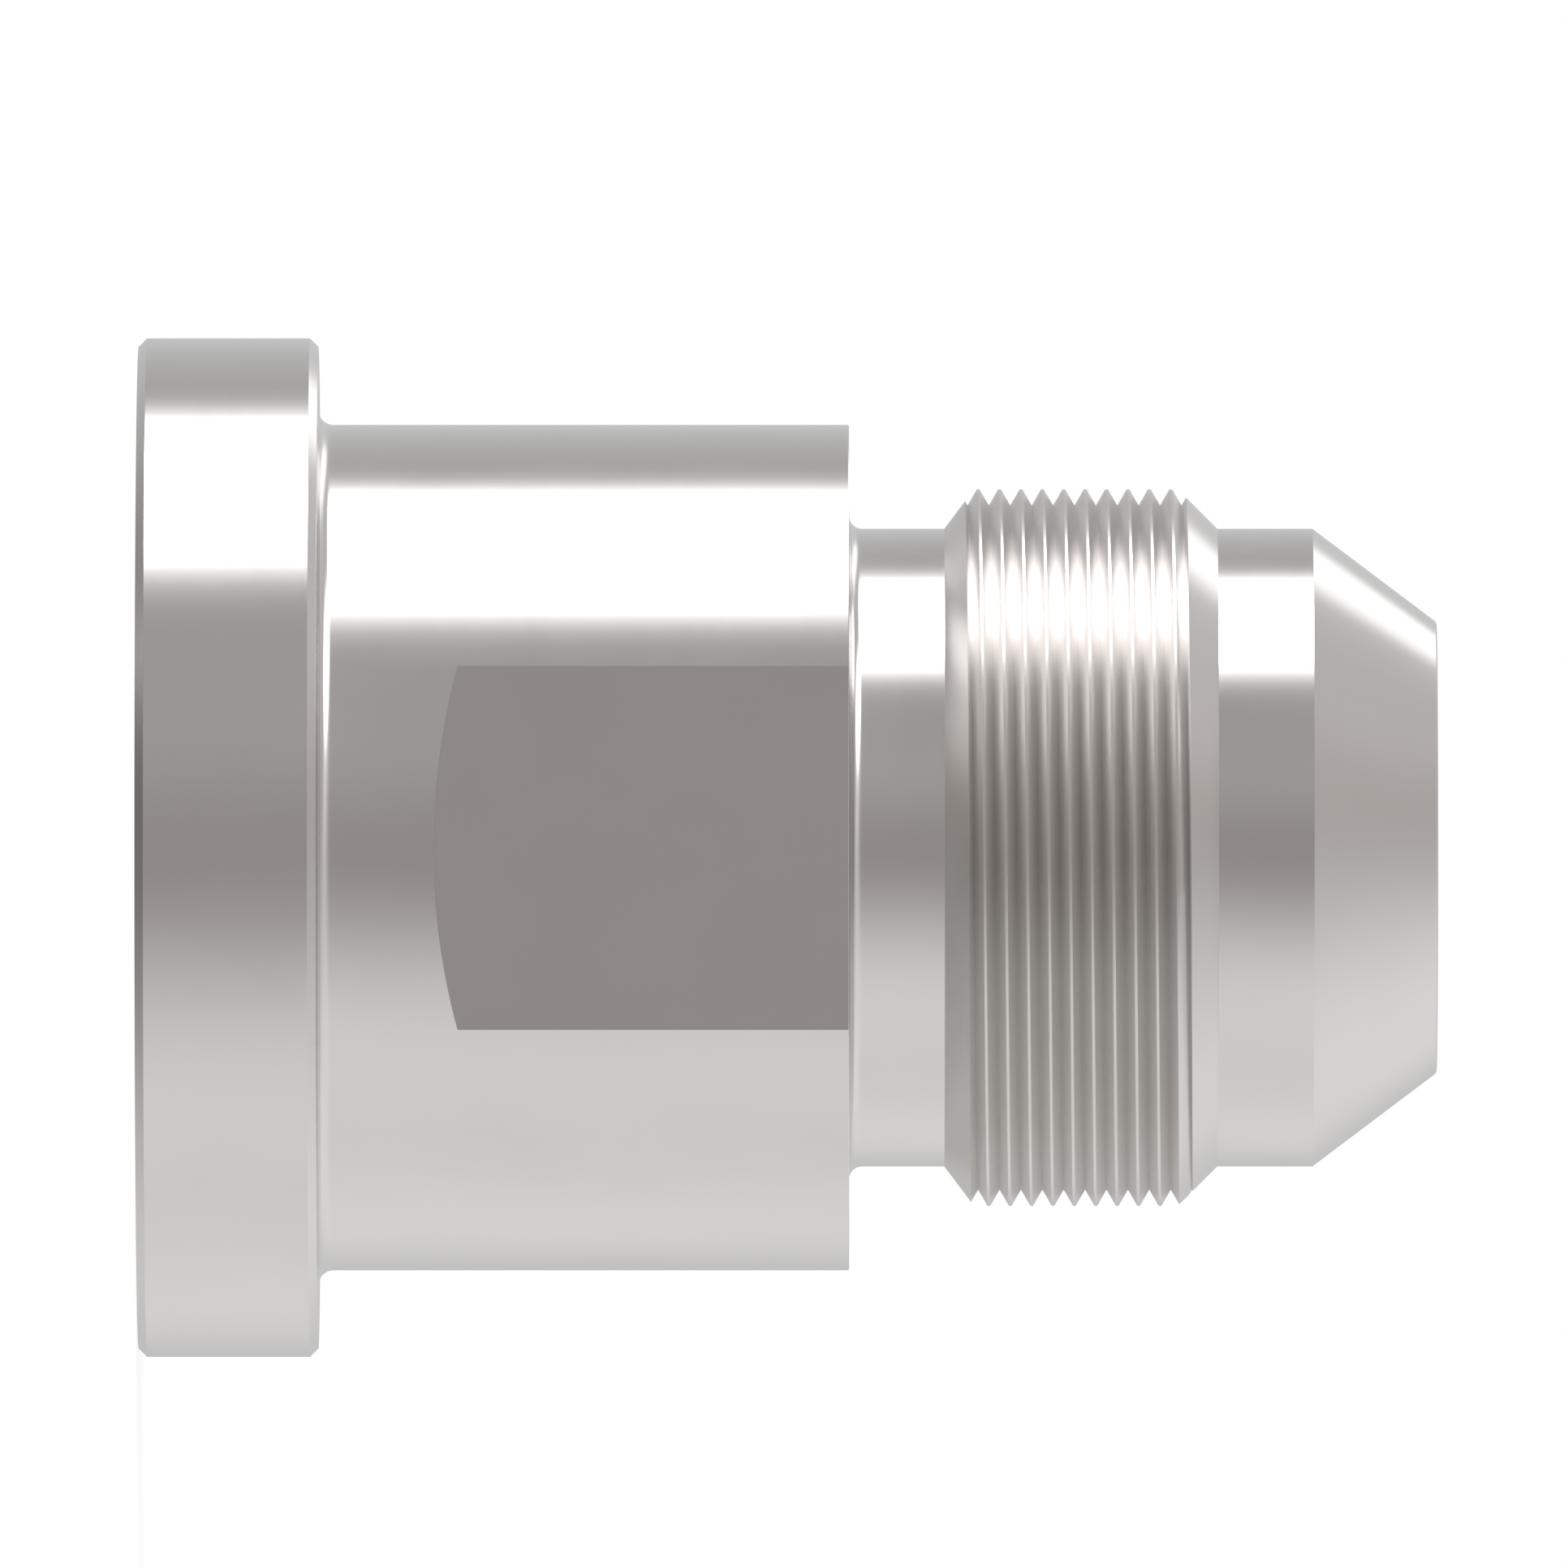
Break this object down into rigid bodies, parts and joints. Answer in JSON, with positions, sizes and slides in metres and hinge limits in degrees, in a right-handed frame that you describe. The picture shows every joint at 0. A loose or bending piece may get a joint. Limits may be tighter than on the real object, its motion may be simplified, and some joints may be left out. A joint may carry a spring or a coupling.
{
  "type": "flange adapter",
  "caption": "Turned steel hydraulic adapter: flange head with O-ring gland, body with two wrench flats, threaded male end with a sealing cone, open through bore.",
  "frame": {"origin": "centre of the flange sealing face, on the bore's axis; the part stands on that face", "axes": "+Z along the bore, from the flange face to the tip of the nose; +Y is the outward normal of one wrench flat and -Y of the other; +X completes the right-handed frame"},
  "size_m": [0.0382, 0.038, 0.0485],
  "materials": {
    "turned_steel": "satin, fine turned"
  },
  "bodies": {
    "root": {"adapter_body": "turned_steel"}
  },
  "joints": []
}
